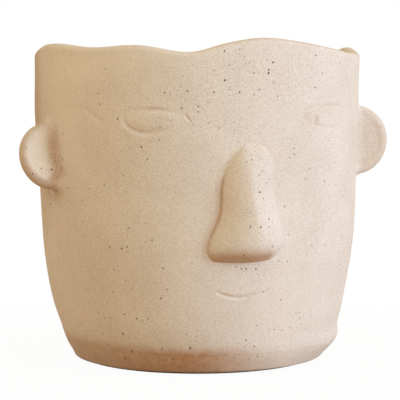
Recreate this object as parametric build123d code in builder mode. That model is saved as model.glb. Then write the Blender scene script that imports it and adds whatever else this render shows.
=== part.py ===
from build123d import *
from math import cos, radians, sin, sqrt
import os

# A round stoneware planter shaped as a plain head: a wall with a wavy rim, incised eyes and smile,
# a nose and two ears luted on, a floor slab with a plugged drain hole, and a felt ring to stand on.
# +Z is up, the face looks along -Y, and the origin is the middle of the felt ring's underside.
# Angles round the pot are in degrees from the face, towards +X. Lengths are in millimetres.

# Wall
wall_height = 159.0
rim_radius = 90.2
wall_thickness = 7.0
cove_radius = 6.0
rim_rounding = 2.4

# Floor slab, its radii as shares of rim_radius
slab_thickness = 10.0
foot_radius_share = 0.781
seam_radius_share = 0.830
slab_foot_rounding = 1.6
seam_rounding = 0.9
drain_hole_radius = 7.0

# Felt ring
felt_thickness = 1.5
felt_inset = 6.4
felt_width = 11.0

# Knee of the wall, where its tight lower curve meets its nearly straight upper one
knee_height_share = 0.365
knee_radius_share = 0.955
knee_slope = 0.062

# Wave of the rim: angle from the face, height as a share of rim_wave_height
rim_wave_height = 5.4
rim_wave_shares = (
    (-162, -0.50),
    (-134, -0.15),
    (-108, -0.50),
    (-98, -0.20),
    (-91, 0.10),
    (-84, 0.42),
    (-74, 0.48),
    (-56, 0.10),
    (-38, 0.30),
    (-20, -0.36),
    (-7, 0.52),
    (5, 1.00),
    (20, 0.64),
    (36, 0.03),
    (52, -0.40),
    (68, -0.34),
    (92, 0.36),
    (102, -0.14),
    (120, -0.38),
    (150, 0.05),
    (174, -0.45),
)

# Eyes, each a closed groove, and a short slanting stroke that leaves it near the inner corner
eye_angle = 31.4
eye_height = 134.2
eye_length = 33.5
eye_opening = 11.6
corner_stroke_inset = 1.0
corner_stroke_rise = 3.2
corner_stroke_run = 4.7
corner_stroke_drop = 5.2
corner_stroke_width = 1.1
groove_width = 1.5
groove_depth = 0.8

# Smile
mouth_height = 45.0
mouth_width = 32.2
mouth_sag = 4.6

# Nose
nose_foot_height = 61.0
nose_height = 59.0
nose_width = 38.5
nose_projection = 14.5
nose_sink = 2.0

# Nose from its underside up: height, width and projection, each as a share of the nose's own
nose_section_shares = (
    (0.00, 0.62, 0.28),
    (0.05, 0.89, 0.72),
    (0.12, 1.00, 0.95),
    (0.21, 0.99, 1.00),
    (0.34, 0.87, 0.92),
    (0.50, 0.74, 0.80),
    (0.70, 0.67, 0.63),
    (0.87, 0.55, 0.38),
    (1.00, 0.30, 0.02),
)

# Ears, named as seen by someone who faces the pot
ear_radius = 19.5
ear_forward = 21.0
ear_lean = 10.0
ear_tilt = 13.0
ear_thickness = 8.5
ear_edge_rounding = 3.2
ear_dish_radius = 14.5
ear_dish_depth = 2.8
ear_dish_outset = 1.0
left_ear_height = 113.8
left_ear_projection = 15.9
right_ear_height = 120.4
right_ear_projection = 14.2

# Drain plug, and the recess in the floor that its flange lies in
plug_flange_radius = 13.0
plug_flange_thickness = 2.5
plug_flange_rounding = 0.8
plug_flange_gap = 0.5
plug_stem_gap = 0.08
plug_stem_recess = 1.0
plug_stem_chamfer = 0.8

# Overrun of every cutter past the face that it cuts
overrun = 12.0

foot_radius = foot_radius_share * rim_radius
seam_radius = seam_radius_share * rim_radius
slab_base = felt_thickness
wall_base = slab_base + slab_thickness
rim_level = wall_base + wall_height
blank_top = rim_level + rim_wave_height + overrun

# Outer side of the wall in its section plane, X as radius and Y as height: two arcs that meet at the knee
knee = Vector(knee_radius_share * rim_radius, wall_base + knee_height_share * wall_height)
knee_inwards = Vector(-1, knee_slope).normalized()


def arc_centre(end):
    """The centre of the arc that leaves the knee along the wall and passes through a point."""
    chord = end - knee
    return knee + knee_inwards * (chord.length ** 2 / (2 * chord.dot(knee_inwards)))


lower_centre = arc_centre(Vector(seam_radius, wall_base))
upper_centre = arc_centre(Vector(rim_radius, rim_level))


def wall_side(height, inset=0):
    """The point of the wall's outer side at a height, or as far inside it as inset says."""
    centre = upper_centre if height > knee.Y else lower_centre
    arc_radius = (knee - centre).length
    return Vector(centre.X + sqrt(arc_radius ** 2 - (height - centre.Y) ** 2) - inset, height)


def round_pot(angle, radius, height):
    """A point at an angle from the face, at a radius and a height."""
    return Vector(radius * sin(radians(angle)), -radius * cos(radians(angle)), height)


def face_plane(angle, height):
    """A plane that stands outside the wall and looks at it from an angle."""
    outwards = round_pot(angle, 1, 0)
    to_the_right = round_pot(angle + 90, 1, 0)
    return Plane(round_pot(angle, rim_radius + overrun, height), to_the_right, outwards)


# Head blank, the space that the wall and all inside it take up
with BuildPart() as head_blank:
    with BuildSketch(Plane.XZ):
        with BuildLine():
            ThreePointArc(wall_side(wall_base), wall_side((wall_base + knee.Y) / 2), knee)
            ThreePointArc(knee, wall_side((knee.Y + blank_top) / 2), wall_side(blank_top))
            Polyline(wall_side(blank_top), (0, blank_top), (0, wall_base), wall_side(wall_base))
        make_face()
    revolve(axis=Axis.Z)

# Groove floors, the cores under the eyes and the smile that no groove cuts into
with BuildPart() as groove_floors:
    for height, reach in ((eye_height, eye_opening), (mouth_height, mouth_sag * 2)):
        with Locations((0, 0, height)):
            Cone(
                wall_side(height - reach, groove_depth).X,
                wall_side(height + reach, groove_depth).X,
                2 * reach,
            )

# Face marks, the grooves of both eyes and of the smile
with BuildPart() as face_marks:
    for side in (-1, 1):
        with BuildSketch(face_plane(side * eye_angle, eye_height)):
            SlotOverall(eye_length + groove_width, eye_opening + groove_width)
            SlotOverall(eye_length - groove_width, eye_opening - groove_width, mode=Mode.SUBTRACT)
            stroke_start = Vector(-side * (eye_length / 2 - corner_stroke_inset), corner_stroke_rise)
            stroke_middle = stroke_start + Vector(-side * corner_stroke_run, -corner_stroke_drop) / 2
            SlotCenterPoint(stroke_middle, stroke_start, corner_stroke_width)
        extrude(amount=-rim_radius)
    with BuildSketch(face_plane(0, mouth_height)):
        with BuildLine(mode=Mode.PRIVATE):
            smile = ThreePointArc(
                (-mouth_width / 2, mouth_sag / 2), (0, -mouth_sag / 2), (mouth_width / 2, mouth_sag / 2)
            )
        SlotArc(smile, groove_width)
    extrude(amount=-rim_radius)
    add(groove_floors.part, mode=Mode.SUBTRACT)

# Rim cutter, everything above a surface that rises and falls round the pot
with BuildPart() as rim_cutter:
    waves = [
        Edge.make_spline(
            [round_pot(angle, radius, rim_level + share * rim_wave_height) for angle, share in rim_wave_shares],
            periodic=True,
        )
        for radius in (rim_radius - wall_thickness - overrun, rim_radius + overrun)
    ]
    extrude(Face.make_surface_from_curves(*waves), amount=blank_top, dir=(0, 0, 1))

# Pot wall
with BuildPart() as pot_wall:
    with BuildSketch(Plane.XZ):
        inner_knee = wall_side(knee.Y, wall_thickness)
        inner_top = wall_side(blank_top, wall_thickness)
        cove_top = wall_side(wall_base + cove_radius, wall_thickness)
        cove_foot = cove_top - Vector(cove_radius, cove_radius)
        with BuildLine():
            ThreePointArc(wall_side(wall_base), wall_side((wall_base + knee.Y) / 2), knee)
            ThreePointArc(knee, wall_side((knee.Y + blank_top) / 2), wall_side(blank_top))
            Line(wall_side(blank_top), inner_top)
            ThreePointArc(inner_top, wall_side((knee.Y + blank_top) / 2, wall_thickness), inner_knee)
            ThreePointArc(inner_knee, wall_side((cove_top.Y + knee.Y) / 2, wall_thickness), cove_top)
            RadiusArc(cove_top, cove_foot, -cove_radius)
            Line(cove_foot, wall_side(wall_base))
        make_face()
    revolve(axis=Axis.Z)
    add(face_marks.part, mode=Mode.SUBTRACT)
    seam_edge = pot_wall.edges().filter_by(GeomType.CIRCLE).group_by(Axis.Z)[0].sort_by(SortBy.LENGTH)[-1]
    fillet(seam_edge, seam_rounding)
    add(rim_cutter.part, mode=Mode.SUBTRACT)
    rim_edges = pot_wall.edges().sort_by(Axis.Z)[-4:]
    fillet(rim_edges, rim_rounding)
pot_wall.part.label = "pot_wall"

# Floor slab
with BuildPart() as floor_slab:
    with BuildSketch(Plane.XZ):
        with BuildLine():
            Polyline(
                (0, slab_base), (foot_radius, slab_base), (seam_radius, wall_base), (0, wall_base), close=True
            )
        make_face()
    revolve(axis=Axis.Z)
    fillet(floor_slab.edges().group_by(Axis.Z)[0], slab_foot_rounding)
    fillet(floor_slab.edges().group_by(Axis.Z)[-1], seam_rounding)
    recess_depth = plug_flange_thickness + plug_flange_gap
    with Locations((0, 0, wall_base)):
        CounterBoreHole(drain_hole_radius, plug_flange_radius + plug_flange_gap, recess_depth)
floor_slab.part.label = "floor_slab"

# Nose
with BuildPart() as nose:
    for height_share, width_share, projection_share in nose_section_shares:
        section_height = nose_foot_height + height_share * nose_height
        section_centre = round_pot(0, wall_side(section_height, nose_sink).X, section_height)
        with BuildSketch(Plane(section_centre)):
            Ellipse(width_share * nose_width / 2, projection_share * nose_projection + nose_sink)
    loft()
    add(head_blank.part, mode=Mode.SUBTRACT)
nose.part.label = "nose"


def ear_at(side, projection, height):
    """A round flap beside the wall, dished in front; side is -1 or 1 along X."""
    ear_middle = Vector(side * (rim_radius + projection - ear_radius), -ear_forward, height)
    ear_plane = Plane(ear_middle, (1, 0, 0), (0, -1, 0)).rotated((-ear_tilt, -side * ear_lean, 0))
    ball_radius = (ear_dish_radius ** 2 + ear_dish_depth ** 2) / (2 * ear_dish_depth)
    ball_offset = ear_thickness / 2 + ball_radius - ear_dish_depth
    with BuildPart() as ear:
        with Locations(ear_plane):
            Cylinder(ear_radius, ear_thickness)
        fillet(ear.edges().filter_by(GeomType.CIRCLE), ear_edge_rounding)
        with Locations(ear_plane.from_local_coords(Vector(side * ear_dish_outset, 0, ball_offset))):
            Sphere(ball_radius, mode=Mode.SUBTRACT)
        add(head_blank.part, mode=Mode.SUBTRACT)
    return ear.part


# Ears
ear_left = ear_at(-1, left_ear_projection, left_ear_height)
ear_left.label = "ear_left"
ear_right = ear_at(1, right_ear_projection, right_ear_height)
ear_right.label = "ear_right"

# Drain plug
with BuildPart() as drain_plug:
    flange_base = wall_base - recess_depth
    with BuildSketch(Plane.XY.offset(flange_base)):
        Circle(plug_flange_radius)
    extrude(amount=plug_flange_thickness)
    fillet(drain_plug.edges().group_by(Axis.Z)[-1], plug_flange_rounding)
    with BuildSketch(Plane.XY.offset(flange_base)):
        Circle(drain_hole_radius - plug_stem_gap)
    extrude(amount=-(flange_base - slab_base - plug_stem_recess))
    chamfer(drain_plug.edges().group_by(Axis.Z)[0], plug_stem_chamfer)
drain_plug.part.label = "drain_plug"

# Base pad, the felt ring that it stands on
with BuildPart() as base_pad:
    with BuildSketch():
        Circle(foot_radius - felt_inset)
        Circle(foot_radius - felt_inset - felt_width, mode=Mode.SUBTRACT)
    extrude(amount=felt_thickness)
base_pad.part.label = "base_pad"

if __name__ == "__main__":
    os.makedirs("parts", exist_ok=True)
    pieces = (pot_wall.part, floor_slab.part, nose.part, ear_left, ear_right, drain_plug.part, base_pad.part)
    for piece in pieces:
        solids = piece.solids()
        print(piece.label, len(solids), piece.is_valid, round(piece.volume), piece.bounding_box())
        export_step(piece, f"parts/{piece.label}.step")
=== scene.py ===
import bpy
import bmesh
from bisect import bisect_right
from math import asin, atan2, cos, degrees, exp, hypot, pi, radians, sin, sqrt
from mathutils import Matrix, Vector, noise
from mathutils.kdtree import KDTree


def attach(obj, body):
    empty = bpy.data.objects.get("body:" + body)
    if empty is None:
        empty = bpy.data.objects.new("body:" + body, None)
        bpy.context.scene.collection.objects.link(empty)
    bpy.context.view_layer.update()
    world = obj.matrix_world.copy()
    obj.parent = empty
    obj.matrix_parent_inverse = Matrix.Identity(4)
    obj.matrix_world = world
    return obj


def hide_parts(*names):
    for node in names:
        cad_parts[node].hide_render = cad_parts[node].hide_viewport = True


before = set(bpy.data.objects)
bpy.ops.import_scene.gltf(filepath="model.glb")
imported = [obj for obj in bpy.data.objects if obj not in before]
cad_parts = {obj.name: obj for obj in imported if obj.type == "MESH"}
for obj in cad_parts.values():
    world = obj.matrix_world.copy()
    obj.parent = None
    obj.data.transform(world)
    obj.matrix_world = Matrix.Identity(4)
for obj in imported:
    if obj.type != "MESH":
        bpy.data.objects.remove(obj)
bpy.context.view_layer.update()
print("frame loaded:", ", ".join(sorted(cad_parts)))

# Lengths below are in millimetres until a piece is finished, and angles go round the pot in degrees
# from the face, towards +X. The pot stands on z 0 and the face looks along -Y. Where a name ends in
# Range, something comes in smoothly from the first of two values to the second.
millimetre = 0.001
weldDistance = 1e-4
sharpAngle = 50


def clamp(value, low=0.0, high=1.0):
    return max(low, min(high, value))


def blend(start, end, share):
    return start + (end - start) * share


def smoothStep(low, high, value):
    t = clamp((value - low) / (high - low))
    return t * t * (3 - 2 * t)


def betweenPoints(before, start, end, after, t):
    # a place from start to end on the smooth curve that runs through all four
    return [b + 0.5 * t * (c - a + t * (2 * a - 5 * b + 4 * c - d + t * (3 * (b - c) + d - a)))
            for a, b, c, d in zip(before, start, end, after)]


def curveThrough(points, value):
    # smooth curve through given points, each a position and one or more numbers
    last = len(points) - 1
    i = int(clamp(bisect_right([p[0] for p in points], value) - 1, 0, last - 1))
    t = clamp((value - points[i][0]) / (points[i + 1][0] - points[i][0]))
    around = [points[int(clamp(i + k, 0, last))][1:] for k in (-1, 0, 1, 2)]
    return betweenPoints(*around, t)


def roundPot(angle, radius, height):
    return Vector((radius * sin(radians(angle)), -radius * cos(radians(angle)), height))


def angleOf(place):
    return degrees(atan2(place.x, -place.y))


def radiusOf(place):
    return hypot(place.x, place.y)


def turnFrom(middle, angle):
    # degrees from one angle round the pot to another, the short way
    return (angle - middle + 180) % 360 - 180


def addSpots(value, spots, angle, height):
    # adds soft spots on the wall, each an angle, a height, an amount, a reach round and a reach up
    for middle, level, amount, around, up in spots:
        turned = turnFrom(middle, angle)
        value += amount * exp(-(turned / around) ** 2 - ((height - level) / up) ** 2)
    return value


# The pot's own form, which every clay piece follows
pot = {
    "slabBase": 1.5,
    "wallBase": 11.5,
    "rimLevel": 170.5,
    "rimRadius": 90.2,
    "footRadius": 70.45,
    "seamRadius": 74.87,
    "kneeHeight": 69.54,
    "kneeRadius": 86.14,
    "kneeSlope": 0.062,
    "thickness": 7.0,
    "waveHeight": 5.3,
    "waveStart": 146.0,      # the rim's wave fades out down to here
}
rimWave = (  # angle, share of waveHeight
    (-162, -0.5), (-134, -0.15), (-108, -0.5), (-98, -0.2), (-91, 0.1), (-84, 0.42), (-74, 0.48),
    (-56, 0.1), (-38, 0.3), (-20, -0.36), (-7, 0.52), (5, 1.0), (20, 0.64), (36, 0.03),
    (52, -0.4), (68, -0.34), (75, -0.2), (84, 0.17), (88, 0.13), (94, -0.16), (100, -0.36),
    (120, -0.4), (150, 0.05), (174, -0.45),
)
wrappedWave = [(angle + turn, share) for turn in (-360, 0, 360) for angle, share in rimWave]


def arcCentre(radius, height):
    # centre of the arc that leaves the knee along the wall and passes through a point
    inwards = Vector((-1, pot["kneeSlope"])).normalized()
    knee = Vector((pot["kneeRadius"], pot["kneeHeight"]))
    chord = Vector((radius, height)) - knee
    return knee + inwards * (chord.length_squared / (2 * chord.dot(inwards)))


lowerCentre = arcCentre(pot["seamRadius"], pot["wallBase"])
upperCentre = arcCentre(pot["rimRadius"], pot["rimLevel"])


def wallRadius(height):
    centre = upperCentre if height > pot["kneeHeight"] else lowerCentre
    arc = (Vector((pot["kneeRadius"], pot["kneeHeight"])) - centre).length
    return centre.x + sqrt(arc * arc - (height - centre.y) ** 2)


handwork = {
    "stray": 0.45,           # most that the noise draws the wall inwards
    "evenShare": 0.5,
    "broadShare": 0.42,
    "broadSize": 34.0,
    "smallShare": 0.08,
    "smallSize": 9.0,
    "smallSeed": (7, 3, 1),
    "noiseRadius": 85.0,     # of the round that the noise is taken on
    "noiseSquash": 0.8,      # makes the swellings taller than wide
    "seamDip": 0.15,         # shallow valley smoothed by hand where the wall stands on the slab
    "seamReach": 2.4,
}
swellings = (  # soft spots where the hand-built wall strays most
    (72, 12, 3.3, 38, 5.5),
    (72, 26, 0.8, 38, 9),
    (72, 2, -0.9, 38, 3),
    (-108, 18, -1.0, 45, 9),
    (-108, 4, -1.9, 45, 6.5),
    (-108, 134, 0.9, 30, 18),
    (72, 78, 0.8, 35, 24),
    (72, 158, -0.5, 30, 20),
)


def unevenness(angle, height):
    # low swellings left by hands
    h = handwork
    at = Vector((sin(radians(angle)), cos(radians(angle)), 0)) * h["noiseRadius"]
    at.z = height * h["noiseSquash"]
    broad = noise.noise(at / h["broadSize"])
    small = noise.noise(at / h["smallSize"] + Vector(h["smallSeed"]))
    strayed = -h["stray"] * (h["evenShare"] + h["broadShare"] * broad + h["smallShare"] * small)
    strayed -= h["seamDip"] * exp(-((height - pot["wallBase"]) / h["seamReach"]) ** 2)
    return addSpots(strayed, swellings, angle, height)


def clayRadius(angle, height):
    return wallRadius(height) + unevenness(angle, height)


def rimLift(angle, height):
    wave = curveThrough(wrappedWave, angle)[0] * pot["waveHeight"]
    return wave * smoothStep(pot["waveStart"], pot["rimLevel"], height)


def toLinear(hexColour):
    parts = [int(hexColour[i:i + 2], 16) / 255 for i in (1, 3, 5)]
    return [c / 12.92 if c <= 0.04045 else ((c + 0.055) / 1.055) ** 2.4 for c in parts] + [1.0]


def addNode(tree, kind, settings=None, inputs=None):
    node = tree.nodes.new(kind)
    for name, value in (settings or {}).items():
        setattr(node, name, value)
    for name, value in (inputs or {}).items():
        socket = node.inputs[name]
        if isinstance(value, str):
            value = toLinear(value)
        if isinstance(value, bpy.types.NodeSocket):
            tree.links.new(value, socket)
        else:
            socket.default_value = value
    return node


def addMath(tree, operation, *values):
    return addNode(tree, "ShaderNodeMath", {"operation": operation}, dict(enumerate(values))).outputs[0]


def addNoise(tree, place, size, detail, roughness=0.5, distortion=0.0):
    return addNode(tree, "ShaderNodeTexNoise", inputs={
        "Vector": place, "Scale": 1 / size, "Detail": detail, "Roughness": roughness,
        "Distortion": distortion}).outputs


def addRange(tree, value, start, end, least=0.0, most=1.0):
    # turns what lies from start to end into least to most
    return addNode(tree, "ShaderNodeMapRange", inputs={
        "Value": value, "From Min": start, "From Max": end,
        "To Min": least, "To Max": most}).outputs["Result"]


def addMix(tree, share, first, second):
    return addNode(tree, "ShaderNodeMix", {"data_type": "RGBA"}, {
        "Factor": share, 6: first, 7: second}).outputs[2]


def addBump(tree, height, strength, depth):
    return addNode(tree, "ShaderNodeBump", inputs={
        "Strength": strength, "Distance": depth * millimetre, "Height": height}).outputs["Normal"]


def placeInMm(tree):
    place = addNode(tree, "ShaderNodeTexCoord").outputs["Object"]
    return addNode(tree, "ShaderNodeVectorMath", {"operation": "SCALE"}, {
        0: place, "Scale": 1 / millimetre}).outputs[0]


def newMaterial(name):
    material = bpy.data.materials.new(name)
    material.use_nodes = True
    material.node_tree.nodes.clear()
    return material, material.node_tree


def closeMaterial(tree, shader):
    addNode(tree, "ShaderNodeOutputMaterial", inputs={"Surface": shader})


# A material's range holds which values of a noise count, then from how little to how much
stoneware = {
    "clay": "#dfd5cb",          # unglazed buff body, fired dry
    "paleClay": "#e8dfd6",      # where it was rubbed smoother
    "slipAndPaintedLight": "#f6eee4",          # thin pale slurry wiped over it here and there, also used as painted light on the left ear's face and a pale spot low on the right
    "rustAndShadeClay": "#b3855c",      # iron rust in the hollows and along the foot, also used as painted shade in creases, grooves, under the nose and on the ear edges
    "speck": "#43342a",         # iron spots burnt out of the grog
    "sand": "#c3b19c",
    "mottleSize": 26.0,
    "mottleRange": (0.35, 0.68),
    "sandSize": 0.9,
    "sandRange": (0.45, 0.75, 0.0, 0.48),
    "paleSandRange": (0.5, 0.26, 0.0, 0.42),
    "patchSize": 3.2,           # of the lighter and darker places within a rusty or painted-shade one
    "patchRange": (0.32, 0.68, 0.86, 1.14),
    "clumpSize": 38.0,          # of the places where specks crowd or are few
    "clumpRange": (0.38, 0.64, -0.5, 0.5),
    "speckEdge": 0.3,           # how ragged the specks' outlines are, in mm
    "speckEdgeSize": 1 / 1.9,
    "speckFull": 1.1,           # the chance at which a speck has its largest radius
    "palestSpeck": 0.35,        # as a share of the darkest
    "pitDepth": 1.2,            # of a speck, as a share of the grain's depth
    "grainSize": 0.55,
    "grainDepth": 0.16,
    "grainStrength": 0.7,
    "roughness": 0.82,
    "specular": 0.3,
}
# Specks in two sizes: the largest radius is a share of a cell, and rarity leaves cells empty
largeSpecks = {"cell": 2.6, "largest": 0.23, "rarity": 0.74, "crowding": 0.2, "darkest": 0.98}
fineSpecks = {"cell": 1.15, "largest": 0.25, "rarity": 0.42, "crowding": 0.28, "darkest": 0.46}


def sandyStoneware():
    # Buff stoneware with fine grog, sponged and left unglazed: matt, grainy, with dark iron specks.
    # One attribute is above zero for rust and for painted shade, and below zero for pale slip and for painted
    # light, and the grit attribute says how crowded the specks are.
    s = stoneware
    material, tree = newMaterial("sandyStoneware")
    inMm = placeInMm(tree)

    mottle = addRange(tree, addNoise(tree, inMm, s["mottleSize"], 3.0, 0.55)["Fac"], *s["mottleRange"])
    body = addMix(tree, mottle, s["clay"], s["paleClay"])
    sand = addNoise(tree, inMm, s["sandSize"], 2.0, 0.6)["Fac"]
    sandy = addMix(tree, addRange(tree, sand, *s["sandRange"]), body, s["sand"])
    sanded = addMix(tree, addRange(tree, sand, *s["paleSandRange"]), sandy, s["slipAndPaintedLight"])

    # above zero the attribute adds rust and painted shade, below zero pale slip and painted light
    wearAndLightOnMesh = addNode(tree, "ShaderNodeAttribute", {"attribute_name": "wearAndLight"}).outputs["Fac"]
    patches = addRange(tree, addNoise(tree, inMm, s["patchSize"], 3.0, 0.6)["Fac"], *s["patchRange"])
    wearAndLight = addMath(tree, "MULTIPLY", wearAndLightOnMesh, patches)
    rustyAndShaded = addMix(tree, wearAndLight, sanded, s["rustAndShadeClay"])
    wornAndLit = addMix(tree, addMath(tree, "MULTIPLY", wearAndLight, -1.0), rustyAndShaded, s["slipAndPaintedLight"])

    clumps = addRange(tree, addNoise(tree, inMm, s["clumpSize"], 1.0)["Fac"], *s["clumpRange"])
    grit = addNode(tree, "ShaderNodeAttribute", {"attribute_name": "grit"}).outputs["Fac"]
    crowd = addMath(tree, "ADD", grit, clumps)
    ragged = addNoise(tree, inMm, s["speckEdgeSize"], 1.0)["Color"]
    stray = addNode(tree, "ShaderNodeVectorMath", {"operation": "MULTIPLY_ADD"}, {
        0: ragged, 1: (s["speckEdge"] * 2,) * 3, 2: inMm}).outputs[0]

    def addSpecks(kind):
        # each cell's own colour sets how large and how dark its speck is, and most cells have none
        cells = addNode(tree, "ShaderNodeTexVoronoi", {"feature": "F1"}, {
            "Vector": stray, "Scale": 1 / kind["cell"]}).outputs
        chance = addNode(tree, "ShaderNodeSeparateColor", inputs={"Color": cells["Color"]}).outputs
        likely = addMath(tree, "MULTIPLY_ADD", crowd, kind["crowding"], chance["Red"])
        radius = addRange(tree, likely, kind["rarity"], s["speckFull"], 0.0, kind["largest"])
        inside = addMath(tree, "LESS_THAN", cells["Distance"], radius)
        palest = s["palestSpeck"] * kind["darkest"]
        strength = addRange(tree, chance["Green"], 0.0, 1.0, palest, kind["darkest"])
        return addMath(tree, "MULTIPLY", inside, strength)

    specks = addSpecks(largeSpecks)
    speckAmount = addMath(tree, "MAXIMUM", specks, addSpecks(fineSpecks))
    colour = addMix(tree, speckAmount, wornAndLit, s["speck"])

    grain = addNoise(tree, inMm, s["grainSize"], 3.0, 0.7)["Fac"]
    pitted = addMath(tree, "MULTIPLY_ADD", specks, -s["pitDepth"], grain)
    shader = addNode(tree, "ShaderNodeBsdfPrincipled", inputs={
        "Base Color": colour, "Roughness": s["roughness"], "Specular IOR Level": s["specular"],
        "Normal": addBump(tree, pitted, s["grainStrength"], s["grainDepth"])}).outputs["BSDF"]
    closeMaterial(tree, shader)
    return material


rubber = {
    "body": "#2b2724",
    "dust": "#6b6259",
    "dustSize": 7.0,
    "dustRange": (0.5, 0.75, 0.0, 0.35),
    "grainSize": 0.8,
    "grainDepth": 0.08,
    "grainStrength": 0.4,
    "roughness": 0.62,
}


def mouldedRubber():
    # Soft moulded rubber: near black, a little dusty in the fine matt texture that the mould leaves
    material, tree = newMaterial("mouldedRubber")
    inMm = placeInMm(tree)
    grain = addNoise(tree, inMm, rubber["grainSize"], 3.0)["Fac"]
    dust = addRange(tree, addNoise(tree, inMm, rubber["dustSize"], 4.0)["Fac"], *rubber["dustRange"])
    shader = addNode(tree, "ShaderNodeBsdfPrincipled", inputs={
        "Base Color": addMix(tree, dust, rubber["body"], rubber["dust"]),
        "Roughness": rubber["roughness"],
        "Normal": addBump(tree, grain, rubber["grainStrength"], rubber["grainDepth"])}).outputs["BSDF"]
    closeMaterial(tree, shader)
    return material


felt = {
    "body": "#8a7a67",
    "fibre": "#5e5144",
    "fibreSize": 0.9,
    "fibreStretch": (1.0, 0.35, 2.0),
    "fibreRange": (0.35, 0.65),
    "tangle": 1.5,
    "fibreDepth": 0.3,
    "fibreStrength": 0.8,
    "roughness": 0.95,
    "sheen": 0.3,
}


def pressedFelt():
    # Pressed wool felt: short tangled fibres, no gloss, a soft sheen at the edge
    material, tree = newMaterial("pressedFelt")
    stretched = addNode(tree, "ShaderNodeMapping", inputs={
        "Vector": placeInMm(tree), "Scale": felt["fibreStretch"]}).outputs[0]
    fibres = addNoise(tree, stretched, felt["fibreSize"], 5.0, distortion=felt["tangle"])["Fac"]
    amount = addRange(tree, fibres, *felt["fibreRange"])
    shader = addNode(tree, "ShaderNodeBsdfPrincipled", inputs={
        "Base Color": addMix(tree, amount, felt["body"], felt["fibre"]),
        "Roughness": felt["roughness"], "Sheen Weight": felt["sheen"],
        "Normal": addBump(tree, fibres, felt["fibreStrength"], felt["fibreDepth"])}).outputs["BSDF"]
    closeMaterial(tree, shader)
    return material


clayMaterial = sandyStoneware()
rubberMaterial = mouldedRubber()
feltMaterial = pressedFelt()
print("materials made")


def spinProfile(bm, points, steps, closed=True):
    # a line of points in the XZ plane, spun a full turn about the pot's axis
    line = [bm.verts.new((radius, 0, height)) for radius, height in points]
    edges = [bm.edges.new(pair) for pair in zip(line, line[1:])]
    if closed:
        edges.append(bm.edges.new((line[-1], line[0])))
    bmesh.ops.spin(bm, geom=line + edges, cent=(0, 0, 0), axis=(0, 0, 1), dvec=(0, 0, 0),
                   angle=2 * pi, steps=steps, use_merge=True)
    bmesh.ops.remove_doubles(bm, verts=bm.verts, dist=weldDistance)


def quarterTurn(centre, radius, start, steps):
    # points along a quarter circle, from an angle in degrees, anticlockwise in radius and height
    return [(centre[0] + radius * cos(radians(start + 90 * i / steps)),
             centre[1] + radius * sin(radians(start + 90 * i / steps))) for i in range(steps + 1)]


def fromCorner(radius, height, offsets):
    # points of a profile, each set off from the corner that it softens
    return [(radius + out, height + up) for out, up in offsets]


def rubSmooth(bm, times, lump, lumpSize, seed):
    # clay rubbed with a finger: smoother, with low lumps left in it
    inner = [v for v in bm.verts if not v.is_boundary]
    for i in range(times):
        bmesh.ops.smooth_vert(bm, verts=inner, factor=0.4, use_axis_x=True, use_axis_y=True, use_axis_z=True)
    for v in inner:
        v.co.y += lump * noise.noise(v.co / lumpSize + Vector(seed))


def closeBack(bm):
    bmesh.ops.holes_fill(bm, edges=[e for e in bm.edges if e.is_boundary], sides=0)


gritPlaces = (  # soft spots where iron specks show most
    (-14, 142, 0.5, 15, 20),
    (9, 160, 0.9, 9, 9),
    (15, 136, 1.0, 8, 16),
    (33, 159, 0.6, 10, 8),
    (-3, 88, 1.1, 9, 26),
    (-68, 163, 1.0, 10, 7),
    (-46, 143, 0.6, 8, 8),
    (-73, 110, 0.9, 3.5, 18),
    (-14, 22, 0.8, 13, 12),
    (-30, 9, 1.3, 34, 9),
)


def paintClay(bm, wearAndLightAt):
    # how rusty or pale the clay is at each vertex, with painted shade and painted light in the same values,
    # and how gritty, which the stoneware material reads
    wearAndLightLayer, gritLayer = bm.verts.layers.float.new("wearAndLight"), bm.verts.layers.float.new("grit")
    bmesh.ops.recalc_face_normals(bm, faces=bm.faces)
    bm.normal_update()
    for v in bm.verts:
        v[wearAndLightLayer] = clamp(wearAndLightAt(v), -1.0, 1.0)
        v[gritLayer] = addSpots(0.0, gritPlaces, angleOf(v.co), v.co.z)


def addObject(name, data):
    added = bpy.data.objects.new(name, data)
    bpy.context.scene.collection.objects.link(added)
    return added


def finishPiece(name, bm, body, material, replaced):
    bmesh.ops.recalc_face_normals(bm, faces=bm.faces)
    bmesh.ops.scale(bm, vec=(millimetre,) * 3, verts=bm.verts)
    mesh = bpy.data.meshes.new(name)
    bm.to_mesh(mesh)
    bm.free()
    mesh.shade_smooth()
    mesh.set_sharp_from_angle(angle=radians(sharpAngle))
    mesh.materials.append(material)
    piece = addObject(name, mesh)
    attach(piece, body)
    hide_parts(replaced)
    print(name, "made,", sum(len(p.vertices) - 2 for p in mesh.polygons), "triangles")


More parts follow.
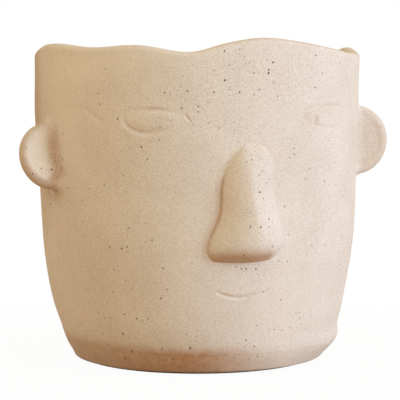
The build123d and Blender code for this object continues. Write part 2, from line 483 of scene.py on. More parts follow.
# Marks drawn in the clay. Each point is across and up from a place on the wall, and how deep there.
marks = [
    # left eye
    {"angle": -31.4, "height": 134.2, "width": 2.7, "depth": 0.56, "closed": True, "burr": 0.2, "swell": 0.5,
     "points": ((-17.2, 1.4, 0.35), (-16.4, 3.4, 0.2), (-13.4, 4.8, 0.2), (-9.0, 5.0, 0.45),
                (-4.8, 5.2, 0.85), (-1.2, 5.4, 1.0), (2.6, 5.2, 0.85), (6.2, 4.6, 0.4), (10.8, 3.9, 0.12),
                (14.6, 2.8, 0.14), (16.6, 0.4, 0.1), (15.0, -2.6, 0.06), (10.4, -4.3, 0.04),
                (5.6, -5.0, 0.06), (1.4, -5.8, 0.36), (-3.0, -6.3, 0.8), (-8.2, -6.2, 1.0),
                (-12.2, -5.1, 1.0), (-15.0, -3.5, 1.0), (-16.7, -1.3, 0.75))},
    # stroke at its inner corner
    {"angle": -31.4, "height": 134.2, "width": 1.5, "depth": 0.42, "burr": 0.08,
     "points": ((15.3, 3.0, 0.2), (16.1, 1.9, 1.0), (17.2, 0.2, 1.0), (18.3, -0.9, 0.5), (20.2, -2.9, 0.15))},
    # scratch across it
    {"angle": -31.4, "height": 134.2, "width": 1.2, "depth": 0.13, "burr": 0.0,
     "points": ((7.6, 4.4, 0.5), (8.5, 0.4, 1.0), (8.0, -4.4, 0.5))},
    # right eye
    {"angle": 31.4, "height": 134.8, "width": 1.9, "depth": 0.24, "closed": True, "burr": 0.04, "swell": 0.2,
     "points": ((-17.0, 1.6, 0.3), (-14.0, 5.0, 0.6), (-3.8, 6.2, 0.9), (6.0, 6.2, 0.9), (13.1, 5.4, 0.8),
                (16.8, 2.0, 0.9), (15.0, -2.6, 0.6), (9.4, -5.2, 0.7), (-1.8, -4.8, 0.55),
                (-11.3, -3.2, 0.4))},
    # smile
    {"angle": 0.0, "height": 45.0, "width": 2.0, "depth": 0.68, "burr": 0.1,
     "points": ((-16.6, 1.6, 0.5), (-12.8, -0.5, 1.0), (-9.4, -1.6, 1.0), (-5.2, -2.3, 0.85),
                (-0.5, -2.3, 0.62), (5.0, -1.5, 0.5), (8.9, -0.6, 0.38), (12.3, 0.1, 0.42),
                (16.0, 1.4, 0.45))},
    # faint line at the left temple
    {"angle": -56.0, "height": 134.0, "width": 3.2, "depth": 0.26, "burr": 0.06,
     "points": ((-10.1, 5.9, 0.4), (-0.8, 4.2, 1.0), (4.7, 0.2, 0.9), (10.6, -1.0, 0.5))},
]
markForm = {
    "steps": 40,             # places along each span of a line
    "fade": 6.0,             # how soon an open line comes to its full depth
    "margin": 4.0,           # how far past its points a mark still works
    "grooveShare": 1.3,      # its reach, as a share of half the mark's width
    "burrShare": 2.1,        # where the thrown-up clay stands, the same way
    "upperBurr": 0.3,        # less of it on the upper side
    "swellInset": (1.5, 1.0),
    "swellRange": (1.0, 0.55),
    "fullDepth": 0.8,        # from this depth on, a groove is as rusty and as dark with painted shade as one can be
}
for mark in marks:
    drawn, closed, steps = mark["points"], mark.get("closed"), markForm["steps"]
    count = len(drawn)
    spans = count if closed else count - 1
    tree, mark["strengths"] = KDTree(spans * steps), []
    for i in range(spans):
        nearby = [(i + k) % count if closed else int(clamp(i + k, 0, spans)) for k in (-1, 0, 1, 2)]
        for j in range(steps):
            across, up, strength = betweenPoints(*[drawn[n] for n in nearby], j / steps)
            fromEnd = min(i + j / steps, spans - i - j / steps)
            ends = 1.0 if closed else clamp(markForm["fade"] * fromEnd / spans) ** 0.5
            tree.insert((across, up, 0), len(mark["strengths"]))
            mark["strengths"].append(strength * ends)
    tree.balance()
    mark["tree"] = tree
    mark["reach"] = max(hypot(p[0], p[1]) for p in drawn) + markForm["margin"]
    mark["span"] = [max(abs(p[k]) for p in drawn) for k in (0, 1)]


def fromMark(mark, angle, height):
    # how far across and up a place on the wall is from the middle of a mark
    return radians(turnFrom(mark["angle"], angle)) * wallRadius(height), height - mark["height"]


def markDepth(angle, height):
    # how far the drawn marks lower or raise the clay here, and how deep in a groove it is from 0 to 1
    lowered, inGroove = 0.0, 0.0
    for mark in marks:
        across, up = fromMark(mark, angle, height)
        if hypot(across, up) > mark["reach"]:
            continue
        found, index, distance = mark["tree"].find((across, up, 0))
        strength, half = mark["strengths"][index], mark["width"] / 2
        groove = (0.5 + 0.5 * cos(pi * clamp(distance / (half * markForm["grooveShare"])))) * strength
        lowered -= mark["depth"] * groove
        burr = exp(-((distance - half * markForm["burrShare"]) / half) ** 2) * strength
        side = 1.0 if up < found[1] else markForm["upperBurr"]
        lowered += mark["burr"] * burr * side
        if mark.get("swell"):
            wide, high = [mark["span"][k] - markForm["swellInset"][k] for k in (0, 1)]
            lowered += mark["swell"] * smoothStep(*markForm["swellRange"], hypot(across / wide, up / high))
        inGroove = max(inGroove, groove * clamp(mark["depth"] / markForm["fullDepth"]))
    return lowered, inGroove


def smoothRise(height, reach):
    # the clay's height over the wall where it is smeared onto it, never quite down to the wall
    return 0.5 * (height + sqrt(height * height + 4 * reach * reach))


nose = {
    "columns": 72,
    "rows": 110,
    "outWeight": 0.8,            # what a step outwards counts in the rows' spacing
    "formShare": 0.8,            # of the columns: the rest dive into the wall
    "diveWidth": 3.2,
    "diveDepth": 7.0,
    "sidePower": 1.3,            # 1 is an ellipse, more is a wedge with a sharper ridge
    "bluntPower": 0.75,          # the same where the nose is low over the wall
    "powerRange": (1, 9),        # of the projection
    "creaseLeft": 0.55,          # how far clay is smeared out at the root, on each side
    "creaseRight": 1.35,
    "creaseRange": (-0.2, 0.5),  # across the grid, which goes from -1 to 1
    "creaseTop": 1.1,
    "creaseTopRange": (100, 118),
    "creaseFoot": 0.5,
    "creaseFootRange": (68, 63),
    "riseLeft": 0.0025,          # how the underside climbs to either side, per millimetre squared
    "riseRight": 0.0065,
    "riseRange": (70, 63),
    "sink": 0.3,                 # how far the smeared clay goes under the wall's face
    "borderSink": 0.9,
    "borderRange": (0.9, 1.0),
    "rubs": 4,
    "lump": 0.22,
    "lumpSize": 11.0,
    "lumpSeed": (3, 9, 4),
    # rust and painted shade in the crease at the root, more on the left, which is turned from the light, and
    # painted shade on the underside, which faces down
    "wearAndLight": {
        "creaseRange": (0.2, 2.6),   # of the distance from the wall
        "rightRustAndShade": 0.1,
        "leftRustAndShade": 0.5,             # more of it than on the right
        "leftRange": (2, -8),
        "topRange": (112, 98),
        "footRange": (50, 84),
        "underShade": 0.6,
        "underRange": (0.0, -0.8),   # of the upright part of the normal
        "underTopRange": (80, 66),
        "underSideRange": (13.5, 8),
    },
}
noseRidge = (  # height, projection, root to the left, root to the right, ridge across from the middle
    (57.5, -12.0, 16.5, 12.6, 0.0),
    (60.0, -5.0, 17.4, 13.2, 0.0),
    (61.2, 1.5, 18.2, 13.8, 0.0),
    (62.1, 6.2, 19.3, 15.2, 0.3),
    (63.6, 10.2, 20.2, 16.8, 0.7),
    (65.9, 13.0, 20.8, 18.3, 1.1),
    (69.6, 14.5, 20.9, 19.3, 1.5),
    (74.7, 14.6, 19.4, 19.0, 1.9),
    (80.4, 13.6, 17.0, 17.6, 1.7),
    (86.0, 12.6, 15.2, 16.0, 0.7),
    (92.0, 11.8, 14.6, 14.6, -0.3),
    (98.0, 11.0, 14.6, 13.4, -1.2),
    (104.0, 9.9, 13.8, 12.8, -1.7),
    (109.5, 8.2, 11.8, 12.2, -1.8),
    (113.6, 6.4, 9.4, 11.4, -1.2),
    (116.8, 4.4, 7.0, 10.0, 0.0),
    (119.4, 2.0, 4.4, 7.6, 1.1),
    (121.4, -1.2, 2.0, 5.2, 1.5),
    (124.0, -6.0, 1.2, 3.2, 1.5),
)


def makeNose():
    bm = bmesh.new()
    bmesh.ops.create_grid(bm, x_segments=nose["columns"], y_segments=nose["rows"], size=1)
    lengths = [0.0]
    for a, b in zip(noseRidge, noseRidge[1:]):
        lengths.append(lengths[-1] + hypot(b[0] - a[0], (b[1] - a[1]) * nose["outWeight"]))
    alongRidge = [(length, *row) for length, row in zip(lengths, noseRidge)]
    for v in bm.verts:
        u, along = v.co.x, (v.co.y + 1) / 2 * lengths[-1]
        height, projection, left, right, ridge = curveThrough(alongRidge, along)
        half = left + ridge if u < 0 else right - ridge
        reach = blend(nose["creaseLeft"], nose["creaseRight"], smoothStep(*nose["creaseRange"], u))
        toTop = (nose["creaseTop"] - reach) * smoothStep(*nose["creaseTopRange"], height)
        toFoot = (nose["creaseFoot"] - reach) * smoothStep(*nose["creaseFootRange"], height)
        power = blend(nose["bluntPower"], nose["sidePower"], smoothStep(*nose["powerRange"], projection))
        share = abs(u) / nose["formShare"]
        if share <= 1:
            turn = share * pi / 2
            away = half * sin(turn) ** power
            rise = projection * cos(turn) ** power if projection > 0 else projection
        else:
            dive = (share - 1) / (1 / nose["formShare"] - 1)
            away = half + dive * nose["diveWidth"]
            rise = min(projection, 0) - dive * nose["diveDepth"]
        across = ridge + (away if u > 0 else -away)
        climb = nose["riseLeft" if u < 0 else "riseRight"] * across * across
        height += climb * smoothStep(*nose["riseRange"], height)
        angle = degrees(asin(clamp(across / wallRadius(height), -1, 1)))
        border = smoothStep(*nose["borderRange"], max(abs(u), abs(v.co.y)))
        out = smoothRise(rise, reach + toTop + toFoot) - nose["sink"] - nose["borderSink"] * border
        radius = clayRadius(angle, height)
        v.co = (across, -sqrt(radius * radius - across * across) - out, height)
    rubSmooth(bm, nose["rubs"], nose["lump"], nose["lumpSize"], nose["lumpSeed"])
    closeBack(bm)

    # rust and painted shade in the root's crease, and painted shade on the downward-facing underside
    def wearAndLightAt(v):
        w, across, height = nose["wearAndLight"], v.co.x, v.co.z
        crease = 1 - smoothStep(*w["creaseRange"], radiusOf(v.co) - wallRadius(height))
        rustAndShade = w["rightRustAndShade"] + w["leftRustAndShade"] * smoothStep(*w["leftRange"], across)
        hollow = crease * rustAndShade * smoothStep(*w["topRange"], height) * smoothStep(*w["footRange"], height)
        under = smoothStep(*w["underRange"], v.normal.z) * smoothStep(*w["underTopRange"], height)
        return hollow + w["underShade"] * under * smoothStep(*w["underSideRange"], across)

    paintClay(bm, wearAndLightAt)
    return bm


# Of each ear's last two numbers, the first sets rust and painted shade at its root and edge, more on the left
# ear, which is turned from the light; the second sets painted light on its face, and below zero painted
# shade.
ears = [  # the two smears are how wide clay is pushed onto the wall, at the edge and at the front and back
    {"node": "ear_left", "side": -1, "height": 113.8, "projection": 15.7,
     "forward": 19.0, "flatness": 0.75, "tall": 0.95, "edgeSmear": 4.0, "rootSmear": 8.0, "seed": 1.0,
     "rustAndShade": 0.55, "faceLight": 0.8},
    {"node": "ear_right", "side": 1, "height": 120.4, "projection": 14.2,
     "forward": 20.2, "flatness": 0.65, "tall": 1.02, "edgeSmear": 2.8, "rootSmear": 4.0, "seed": 6.0,
     "rustAndShade": 0.2, "faceLight": -0.14},
]
earForm = {
    "radius": 19.4,
    "lean": 10.0,
    "tilt": 13.0,
    "front": 3.1,                # how far its front stands before its middle
    "profileParts": 60,
    "steps": 96,
    "edgeRange": (15.0, 18.3),   # where it goes over into the rounded edge
    "lowerEdgeShift": (1.4, 1.0),
    "lowerReach": 14.0,
    "flatRange": (16, 12),
    "lobes": 3,                  # how often and how far its outline swells
    "lobeShare": 0.012,
    "lobeRange": (8, 18),
    "leastSlope": 0.05,          # what lies flatter on the wall isn't smeared
    "smearShare": 0.9,
    "buriedSmear": 1.2,
    "buriedMost": 2.0,
    "keptDepth": 2.2,            # what lies deeper in the wall is cut away
    "rubs": 3,
    "lump": 0.2,
    "lumpSize": 9.0,
    "sinkFrom": 2.0,
    "sinkReach": 0.35,
    "sink": 0.3,
    "edgeSink": 0.35,
    "edgeSinkRange": (-0.6, -1.8),
    "root": {  # the rusty hollow in front of an ear: rust and painted shade
        "reach": 5.2,
        "out": 1.0,
        "footRange": (-27, -20),     # heights from the ear's middle
        "topRange": (19, 7),
        "lowPart": -10,
        "aheadRange": (-6, -2),
        "lowAheadRange": (-12, -2),
    },
    "wearAndLight": {
        "faceRange": (1.0, 2.4),     # of the distance before the ear's middle
        "faceShade": 2.5,            # how soon the root's rust and painted shade end the face's painted light
        "litFaceRange": (2, 7),        # of the distance from the wall
        "edgeRange": (1, 5),
        # painted shade on the ear's rounded edge, which turns from the light
        "edgeShade": 0.55,
        "lowerEdgeShade": 0.3,            # more of it on the lower edge
        "lowerRange": (6, -12),
    },
}
earSection = (  # step, distance from the middle, how far in front or behind: one line round the edge
    (0.0, 0.0, 0.9), (1.0, 5.0, 1.0), (2.0, 9.5, 1.5), (3.0, 13.0, 2.5), (4.0, 15.6, 3.4), (5.0, 17.6, 3.2),
    (6.0, 18.9, 2.0), (7.0, 19.4, 0.0), (8.0, 18.8, -2.3), (9.0, 16.8, -3.8), (10.0, 12.5, -4.25),
    (11.0, 6.0, -4.3), (12.0, 0.0, -4.3),
)
rootLine = (  # height from the ear's middle, how far the rusty, painted-shade hollow strays behind the root
    (-24, -10.0), (-17, -8.0), (-12, -3.4), (-8, 0.2), (0, -1.2), (8, -0.2), (14, 1.8), (20, 2.6),
)


def earPlace(ear):
    # where the middle of an ear is, which way its front faces, and how it is turned
    side = ear["side"]
    lean = Matrix.Rotation(radians(-side * earForm["lean"]), 3, "Z")
    turned = lean @ Matrix.Rotation(radians(-earForm["tilt"]), 3, "X")
    outwards = side * (pot["rimRadius"] + ear["projection"] - earForm["radius"])
    return Vector((outwards, -ear["forward"], ear["height"])), turned @ Vector((0, -1, 0)), turned


def rootRustAndShade(ear, place):
    # how much rust and painted shade the hollow in front of an ear has, on the ear and on the wall alike
    root, (middle, facing) = earForm["root"], earPlace(ear)[:2]
    off = radiusOf(place) - wallRadius(place.z)
    ahead = (place - middle).dot(facing) - earForm["front"]
    up = place.z - ear["height"]
    aheadRange = root["lowAheadRange" if up < root["lowPart"] else "aheadRange"]
    within = smoothStep(*root["footRange"], up) * smoothStep(*root["topRange"], up)
    aside = max(off, 0) - ahead + root["out"] + curveThrough(rootLine, up)[0]
    return ear["rustAndShade"] * exp(-(aside / root["reach"]) ** 2) * (within * smoothStep(*aheadRange, ahead))


def makeEar(ear):
    e = earForm
    bm = bmesh.new()
    last, parts = earSection[-1][0], e["profileParts"]
    points = [curveThrough(earSection, last * i / parts) for i in range(parts + 1)]
    spinProfile(bm, points, e["steps"], closed=False)
    edgeLayer = bm.verts.layers.float.new("edge")
    for v in bm.verts:
        turn, away = atan2(v.co.y, v.co.x), radiusOf(v.co)
        lower = clamp(-v.co.y / e["lowerReach"])
        edgeRange = [limit - shift * lower for limit, shift in zip(e["edgeRange"], e["lowerEdgeShift"])]
        v[edgeLayer] = smoothStep(*edgeRange, away)
        if v.co.z > 0:
            v.co.z += (e["front"] - v.co.z) * ear["flatness"] * smoothStep(*e["flatRange"], away)
        lobe = e["lobeShare"] * (sin(e["lobes"] * turn + ear["seed"]) - 1)
        pressed = 1 + lobe * smoothStep(*e["lobeRange"], away)
        v.co.x *= pressed
        v.co.y *= pressed * ear["tall"]
    # stands upright, front towards the face, top leaning back and tip leaning forward
    upright = Matrix(((1, 0, 0), (0, 0, -1), (0, 1, 0)))
    middle, facing, turned = earPlace(ear)
    for v in bm.verts:
        v.co = turned @ (upright @ v.co) + middle
    bmesh.ops.recalc_face_normals(bm, faces=bm.faces)
    bm.normal_update()

    def offWall(place):
        return radiusOf(place) - clayRadius(angleOf(place), place.z)

    moves = []
    for v in bm.verts:
        off = offWall(v.co)
        away = Vector((v.co.x, v.co.y, 0)).normalized()
        sideways = v.normal - away * v.normal.dot(away)
        if sideways.length < e["leastSlope"]:
            continue
        sideways.normalize()
        smear = blend(ear["edgeSmear"], ear["rootSmear"], abs(sideways.dot(facing)) ** 2)
        share = clamp(1 - off / smear)
        flare = smear * (1 - sqrt(1 - share * share)) * e["smearShare"]
        moves.append((v, sideways * (flare + e["buriedSmear"] * clamp(-off, 0, e["buriedMost"]))))
    for v, move in moves:
        v.co += move
    buried = [v for v in bm.verts if offWall(v.co) < -e["keptDepth"]]
    bmesh.ops.delete(bm, geom=buried, context="VERTS")
    bmesh.ops.delete(bm, geom=[v for v in bm.verts if not v.link_faces], context="VERTS")
    rubSmooth(bm, e["rubs"], e["lump"], e["lumpSize"], (ear["seed"], 2, 5))
    for v in bm.verts:
        # sinks into the wall at a slant instead of a step
        angle = angleOf(v.co)
        around = clayRadius(angle, v.co.z)
        off = radiusOf(v.co) - around
        if off < e["sinkFrom"]:
            slant = e["edgeSink"] * smoothStep(*e["edgeSinkRange"], off)
            v.co = roundPot(angle, around + smoothRise(off, e["sinkReach"]) - e["sink"] - slant, v.co.z)
    closeBack(bm)

    def wearAndLightAt(v):
        # rust and painted shade at the root, painted shade on the edge, painted light on the face
        w, root = e["wearAndLight"], rootRustAndShade(ear, v.co)
        off = radiusOf(v.co) - wallRadius(v.co.z)
        face = smoothStep(*w["faceRange"], (v.co - middle).dot(facing)) * (1 - v[edgeLayer])
        litFace = face * clamp(1 - w["faceShade"] * root)
        edge = w["edgeShade"] + w["lowerEdgeShade"] * smoothStep(*w["lowerRange"], v.co.z - ear["height"])
        edge = edge * ear["rustAndShade"] * v[edgeLayer] * smoothStep(*w["edgeRange"], off)
        return max(root, edge) - ear["faceLight"] * litFace * smoothStep(*w["litFaceRange"], off)

    paintClay(bm, wearAndLightAt)
    return bm


footBand = {
    "level": 16.2,
    "levelDrop": 2.0,
    "dropRange": (-75, -30),
    "waver": 1.4,
    "waverSize": 5.0,
    "waverSeed": 4.0,
    "fadeOver": 3.2,             # how far above and below it fades
    "fadeUnder": 3.8,
    "strong": 0.8,
    "veil": 0.2,                 # thin rust and painted shade that goes on above the band
    "veilTop": 30.0,
}
footRustAndShade = (  # angle, how rusty and shaded the foot is there
    (-190, 0.05), (-150, 0.12), (-120, 0.36), (-95, 0.46), (-66, 0.54), (-54, 0.64), (-43, 0.76),
    (-34, 0.85), (-24, 0.9), (-14, 0.84), (-4, 0.6), (6, 0.36), (16, 0.19), (26, 0.12), (40, 0.06),
    (170, 0.05),
)


def footRustAndShadeAt(angle, height):
    # a ragged band round the foot, partly rust and partly painted shade, strongest at the front left and
    # least on the lit right
    f = footBand
    waver = noise.noise(Vector((angle / f["waverSize"], height / f["waverSize"], f["waverSeed"])))
    level = f["level"] - f["levelDrop"] * smoothStep(*f["dropRange"], angle) + f["waver"] * waver
    band = f["strong"] * smoothStep(level + f["fadeOver"], level - f["fadeUnder"], height)
    band += f["veil"] * smoothStep(f["veilTop"], level, height)
    return curveThrough(footRustAndShade, angle)[0] * band


wall = {
    "columns": 400,
    "rowHeight": 1.55,
    "innerRowHeight": 6.0,
    "lastRowGap": 0.3,
    "coveGap": 1.0,
    "faceDetail": 0.42,          # gathers the columns towards the face
    "lipRounding": 2.7,
    "lipParts": 7,
    "seamRounding": 0.15,
    "seamParts": 3,
    "coveRadius": 6.0,
    "coveStep": 18,
    "footLedge": 4.0,            # how far the underside goes out past the cove's centre line
    "markCuts": 3,
    "markMargin": 3.0,
    "markReach": 2.6,            # faces nearer to a drawn line than this are cut finer
    "skinDepth": 2.0,            # what is nearer to the outside is its skin
    "markSkin": 1.0,
    "rowSlack": 0.01,
    "innerUnevenness": 0.4,
    # rust and painted shade in the grooves and along the nose's left root; the inside is a little darker, and
    # so are the rim's upward faces
    "wearAndLight": {
        "inside": 0.12,
        # rust and painted shade in the drawn grooves
        "groove": 0.4,
        "earAngle": 75,
        "earReach": 20,
        "noseRustAndShade": 0.22,            # along the nose's left root
        "noseShift": 1.0,
        "noseReach": 2.0,
        "noseHeights": (58, 120),
        "noseFootRange": (58, 64),
        "noseTopRange": (110, 96),
        "lip": 0.2,
        "lipRange": (150, 160),
        "lipFacingRange": (0.35, 0.85),
    },
}
spotsAndPaintedLight = (  # soft spots, rustier and darker above zero and paler below; the pale spot low on the right, at angle 24, is painted light
    (-46, 50, 0.1, 16, 24),
    (-60, 162, -0.5, 19, 11),
    (-69, 138, -0.42, 14, 26),
    (-97, 138, 0.58, 12, 44),
    (-94, 84, 0.18, 11, 18),
    (-81.5, 94.5, 0.5, 5.5, 3.6),
    (-70, 27, -0.16, 15, 9),
    (-36, 167, -0.3, 16, 6),
    (24, 32, -0.35, 26, 22),
    (-36, 135, -0.2, 12, 5),
    (26.6, 133.8, 0.35, 1.0, 2.8),
    (22.3, 134.5, 0.14, 2.6, 3.4),
)


def wallProfile():
    base, top, lip, inset = pot["wallBase"], pot["rimLevel"], wall["lipRounding"], pot["thickness"]
    seam, cove, row = wall["seamRounding"], wall["coveRadius"], wall["rowHeight"]
    points = quarterTurn((wallRadius(base + seam) - seam, base + seam), seam, -90, wall["seamParts"])
    z = base + seam + row
    while z < top - lip - wall["lastRowGap"]:
        points.append((wallRadius(z), z))
        z += row
    lipRadius = wallRadius(top - lip)
    points += quarterTurn((lipRadius - lip, top - lip), lip, 0, wall["lipParts"])
    points += quarterTurn((lipRadius - inset + lip, top - lip), lip, 90, wall["lipParts"])
    z = top - lip - wall["innerRowHeight"]
    while z > base + cove + wall["coveGap"]:
        points.append((wallRadius(z) - inset, z))
        z -= wall["innerRowHeight"]
    coveCentre = wallRadius(base + cove) - inset - cove
    points += [(coveCentre + cove * cos(radians(a)), base + cove - cove * sin(radians(a)))
               for a in range(0, 91, wall["coveStep"])]
    points.append((coveCentre + wall["footLedge"], base))
    return points


def cutFiner(bm, mark):
    # smaller faces along a drawn line
    edges = set()
    for f in bm.faces:
        middle = f.calc_center_median()
        if radiusOf(middle) < wallRadius(middle.z) - wall["skinDepth"]:
            continue
        across, up = fromMark(mark, angleOf(middle), middle.z)
        wide, high = [span + wall["markMargin"] for span in mark["span"]]
        if abs(across) > wide or abs(up) > high:
            continue
        if mark["tree"].find((across, up, 0))[2] < wall["markReach"]:
            edges.update(f.edges)
    bmesh.ops.subdivide_edges(bm, edges=list(edges), cuts=wall["markCuts"], use_grid_fill=True)


def onOutside(radius, height):
    return radius >= wallRadius(clamp(height, pot["wallBase"], pot["rimLevel"])) - pot["thickness"] / 2


def makeWall():
    bm = bmesh.new()
    spinProfile(bm, wallProfile(), wall["columns"])
    for v in bm.verts:
        angle = radians(angleOf(v.co))
        angle -= wall["faceDetail"] * sin(angle)
        v.co = roundPot(degrees(angle), radiusOf(v.co), v.co.z)
    for mark in marks:
        cutFiner(bm, mark)

    low = pot["wallBase"] + wall["seamRounding"] - wall["rowSlack"]
    high = pot["rimLevel"] - wall["lipRounding"] + wall["rowSlack"]
    grooveLayer = bm.verts.layers.float.new("inGroove")
    for v in bm.verts:
        height, angle, radius = v.co.z, angleOf(v.co), radiusOf(v.co)
        if low < height < high and radius > wallRadius(height) - wall["markSkin"]:
            lowered, v[grooveLayer] = markDepth(angle, height)
            radius = clayRadius(angle, height) + lowered
        else:
            share = 1.0 if onOutside(radius, height) else wall["innerUnevenness"]
            radius += unevenness(angle, height) * share
        v.co = roundPot(angle, radius, height + rimLift(angle, height))

    def wearAndLightAt(v):
        # rust and painted shade in grooves, at the ear roots, along the nose's root and round the foot, plus
        # the spots and a darker rim top
        w, angle, height = wall["wearAndLight"], angleOf(v.co), v.co.z
        if not onOutside(radiusOf(v.co), height):
            return w["inside"]
        rustAndShade = max(w["groove"] * v[grooveLayer], footRustAndShadeAt(angle, height))
        for ear in ears:
            if abs(angle - ear["side"] * w["earAngle"]) < w["earReach"]:
                rustAndShade = max(rustAndShade, rootRustAndShade(ear, v.co))
        if v.co.y < 0:
            leftRoot = v.co.x + curveThrough(noseRidge, clamp(height, *w["noseHeights"]))[1]
            beside = exp(-((leftRoot + w["noseShift"]) / w["noseReach"]) ** 2)
            beside *= smoothStep(*w["noseFootRange"], height) * smoothStep(*w["noseTopRange"], height)
            rustAndShade = max(rustAndShade, w["noseRustAndShade"] * beside)
        lip = smoothStep(*w["lipFacingRange"], v.normal.z) * smoothStep(*w["lipRange"], height)
        return addSpots(rustAndShade, spotsAndPaintedLight, angle, height) + w["lip"] * lip

    paintClay(bm, wearAndLightAt)
    return bm


slab = {
    "holeRadius": 7.0,
    "recessRadius": 13.5,
    "recessDepth": 3.0,
    "recessBevel": ((0.5, 0), (0, -0.4)),
    "innerStep": 20.0,
    "footEdge": ((-12, 0), (-1.6, 0), (-0.5, 0.15), (0.3, 0.75), (0.85, 1.8)),
    "seamEdge": ((0, -0.15), (-0.15, 0), (-1.4, 0), (-12, 0)),
    "bevelTop": 0.35,
    "bevelBelly": 0.25,
    "bevelParts": 9,
    "columns": 320,
    "outerFrom": 60.0,           # inside this radius it is even, and out of sight
    "lump": 0.1,
    "lumpSize": 6.0,
    "insideWear": 0.3,
}


def makeSlab():
    bm = bmesh.new()
    foot, seam, low, high = pot["footRadius"], pot["seamRadius"], pot["slabBase"], pot["wallBase"]
    hole, recess, floor = slab["holeRadius"], slab["recessRadius"], high - slab["recessDepth"]
    points = [(hole, low), (hole + slab["innerStep"], low)] + fromCorner(foot, low, slab["footEdge"])
    bevelRadius, bevelHeight = points[-1]
    for i in range(1, slab["bevelParts"]):
        share = i / slab["bevelParts"]
        points.append((blend(bevelRadius, seam, share) + slab["bevelBelly"] * sin(pi * share),
                       blend(bevelHeight, high - slab["bevelTop"], share)))
    points += fromCorner(seam, high, slab["seamEdge"]) + fromCorner(recess, high, slab["recessBevel"])
    points += [(recess, floor), (hole, floor)]
    spinProfile(bm, points, slab["columns"])
    for v in bm.verts:
        radius, angle = radiusOf(v.co), angleOf(v.co)
        if radius > slab["outerFrom"]:
            radius += unevenness(angle, v.co.z) + slab["lump"] * noise.noise(v.co / slab["lumpSize"])
            v.co = roundPot(angle, radius, v.co.z)

    def wearAndLightAt(v):
        if radiusOf(v.co) < slab["outerFrom"]:
            return slab["insideWear"]
        return footRustAndShadeAt(angleOf(v.co), v.co.z)

    paintClay(bm, wearAndLightAt)
    return bm


plug = {
    "flangeRadius": 13.0,
    "flangeBase": 8.5,
    "flangeTop": 11.0,
    "stemRadius": 6.92,
    "stemBase": 2.5,
    "dish": ((0, -0.9), (3.2, -0.9), (4.2, -0.55), (4.8, -0.1), (5.6, 0)),
    "flangeTopEdge": ((-0.8, 0), (-0.3, -0.2), (0, -0.8)),
    "flangeFootEdge": ((0, 0.3), (-0.3, 0)),
    "stemRoot": ((0.3, 0), (0, -0.3)),
    "stemEdge": ((0, 0.8), (-0.25, 0.3), (-0.8, 0)),
    "stemHollow": ((4.2, 0), (3.6, 0.5), (3.0, 2.5), (0, 2.6)),
    "columns": 128,
}


def makePlug():
    bm = bmesh.new()
    outer, stem = plug["flangeRadius"], plug["stemRadius"]
    low, high, foot = plug["flangeBase"], plug["flangeTop"], plug["stemBase"]
    points = fromCorner(0, high, plug["dish"]) + fromCorner(outer, high, plug["flangeTopEdge"])
    points += fromCorner(outer, low, plug["flangeFootEdge"]) + fromCorner(stem, low, plug["stemRoot"])
    points += fromCorner(stem, foot, plug["stemEdge"]) + fromCorner(0, foot, plug["stemHollow"])
    spinProfile(bm, points, plug["columns"], closed=False)
    return bm


pad = {
    "outer": 64.05,
    "inner": 53.05,
    "height": 1.5,
    "outerFootEdge": ((-0.25, 0), (0, 0.3)),
    "outerTopEdge": ((0, -0.2), (-0.2, 0)),
    "innerTopEdge": ((0.2, 0), (0, -0.2)),
    "innerFootEdge": ((0, 0.25), (0.2, 0)),
    "columns": 240,
}


def makePad():
    bm = bmesh.new()
    outer, inner, top = pad["outer"], pad["inner"], pad["height"]
    points = fromCorner(outer, 0, pad["outerFootEdge"]) + fromCorner(outer, top, pad["outerTopEdge"])
    points += fromCorner(inner, top, pad["innerTopEdge"]) + fromCorner(inner, 0, pad["innerFootEdge"])
    spinProfile(bm, points, pad["columns"])
    return bm


finishPiece("wall_clay", makeWall(), "pot", clayMaterial, "pot_wall")
finishPiece("floor_clay", makeSlab(), "pot", clayMaterial, "floor_slab")
finishPiece("nose_clay", makeNose(), "pot", clayMaterial, "nose")
for ear in ears:
    finishPiece(ear["node"] + "_clay", makeEar(ear), "pot", clayMaterial, ear["node"])
finishPiece("plug_rubber", makePlug(), "plug", rubberMaterial, "drain_plug")
finishPiece("pad_felt", makePad(), "pot", feltMaterial, "base_pad")

# The studio and the camera are in metres
studio = {
    "floorRadius": 6.0,
    "floorSides": 64,
    "floorColour": "#f2ede6",
    "bounceColour": "#c8b296",       # the warm table top, as its light comes back
    "whiteNear": 0.96,
    "fadeRange": (0.08, 0.3),
    "ambientColour": "#ffeac3",      # a warm room all round
    "ambientStrength": 0.855,
    "aim": (0, 0, 0.09),
}
white = (1, 1, 1, 1)
softboxes = (  # cool daylight from a low window on the right, and a little of it from the front
    {"name": "windowLight", "angle": 46.0, "elevation": 7.5, "distance": 1.5, "size": (0.9, 0.5),
     "power": 11.6, "colour": "#c5deff"},
    {"name": "frontLight", "angle": 20.0, "elevation": 22.0, "distance": 1.7, "size": (0.7, 0.7),
     "power": 5.0, "colour": "#b9dcff"},
)


def backdropRays(tree):
    # 1 for the rays that show the backdrop itself: the camera's, and those seen in gloss or through glass
    rays = addNode(tree, "ShaderNodeLightPath").outputs
    gloss = addMath(tree, "MAXIMUM", rays["Is Glossy Ray"], rays["Is Transmission Ray"])
    return addMath(tree, "MAXIMUM", rays["Is Camera Ray"], gloss)


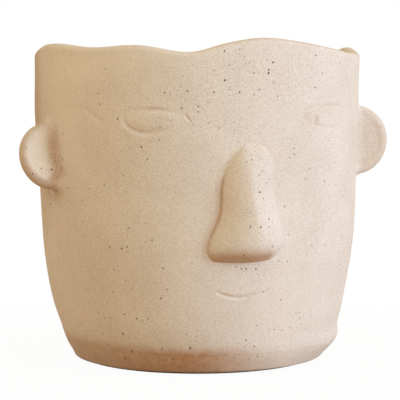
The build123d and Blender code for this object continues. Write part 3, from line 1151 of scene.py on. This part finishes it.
def studioFloor():
    # pale matt floor that goes over to plain white further out, and keeps the pot's soft shadow
    material, tree = newMaterial("studioFloor")
    place = addNode(tree, "ShaderNodeTexCoord").outputs["Object"]
    away = addNode(tree, "ShaderNodeVectorMath", {"operation": "LENGTH"}, {0: place}).outputs["Value"]
    fade = addNode(tree, "ShaderNodeMapRange", {"interpolation_type": "SMOOTHSTEP"}, {
        "Value": away, "From Min": studio["fadeRange"][0], "From Max": studio["fadeRange"][1],
        "To Min": studio["whiteNear"]}).outputs["Result"]
    seen = backdropRays(tree)
    tint = addMix(tree, seen, studio["bounceColour"], studio["floorColour"])
    matt = addNode(tree, "ShaderNodeBsdfDiffuse", inputs={"Color": tint}).outputs["BSDF"]
    plain = addNode(tree, "ShaderNodeEmission", inputs={"Color": white, "Strength": 1.0}).outputs["Emission"]
    both = addNode(tree, "ShaderNodeMixShader", inputs={
        0: addMath(tree, "MULTIPLY", fade, seen), 1: matt, 2: plain}).outputs[0]
    closeMaterial(tree, both)
    return material


def makeFloor():
    bm = bmesh.new()
    bmesh.ops.create_circle(bm, cap_ends=True, radius=studio["floorRadius"], segments=studio["floorSides"])
    mesh = bpy.data.meshes.new("floor")
    bm.to_mesh(mesh)
    bm.free()
    mesh.materials.append(studioFloor())
    floor = addObject("floor", mesh)


def addSoftbox(box):
    light = bpy.data.lights.new(box["name"], "AREA")
    light.shape, light.energy, light.color = "RECTANGLE", box["power"], toLinear(box["colour"])[:3]
    light.size, light.size_y = box["size"]
    lamp = addObject(box["name"], light)
    turn, rise = radians(box["angle"]), radians(box["elevation"])
    out = Vector((sin(turn) * cos(rise), -cos(turn) * cos(rise), sin(rise)))
    lamp.location = Vector(studio["aim"]) + out * box["distance"]
    lamp.rotation_euler = out.to_track_quat("Z", "Y").to_euler()


def makeWorld():
    world = bpy.data.worlds.new("studio")
    world.use_nodes = True
    tree = world.node_tree
    tree.nodes.clear()
    ambient = addNode(tree, "ShaderNodeBackground", inputs={
        "Color": studio["ambientColour"], "Strength": studio["ambientStrength"]}).outputs[0]
    plain = addNode(tree, "ShaderNodeBackground", inputs={"Color": white, "Strength": 1.0}).outputs[0]
    both = addNode(tree, "ShaderNodeMixShader", inputs={
        0: backdropRays(tree), 1: ambient, 2: plain}).outputs[0]
    addNode(tree, "ShaderNodeOutputWorld", inputs={"Surface": both})
    bpy.context.scene.world = world


makeFloor()
makeWorld()
for box in softboxes:
    addSoftbox(box)
print("floor, world and lamps made")

shot = {
    "azimuth": -17.5,
    "distance": 1.0,
    "height": 0.165,
    "pitch": -4.48,
    "pan": 0.08,
    "lens": 162.0,
    "sensor": 36.0,
}
camera = addObject("photoCamera", bpy.data.cameras.new("photoCamera"))
camera.data.lens, camera.data.sensor_width = shot["lens"], shot["sensor"]
turn = radians(shot["azimuth"])
camera.location = (sin(turn) * shot["distance"], -cos(turn) * shot["distance"], shot["height"])
camera.rotation_euler = (radians(90 + shot["pitch"]), 0, turn - radians(shot["pan"]))
bpy.context.scene.camera = camera
bpy.context.scene.view_settings.view_transform = "Standard"
print("camera set")
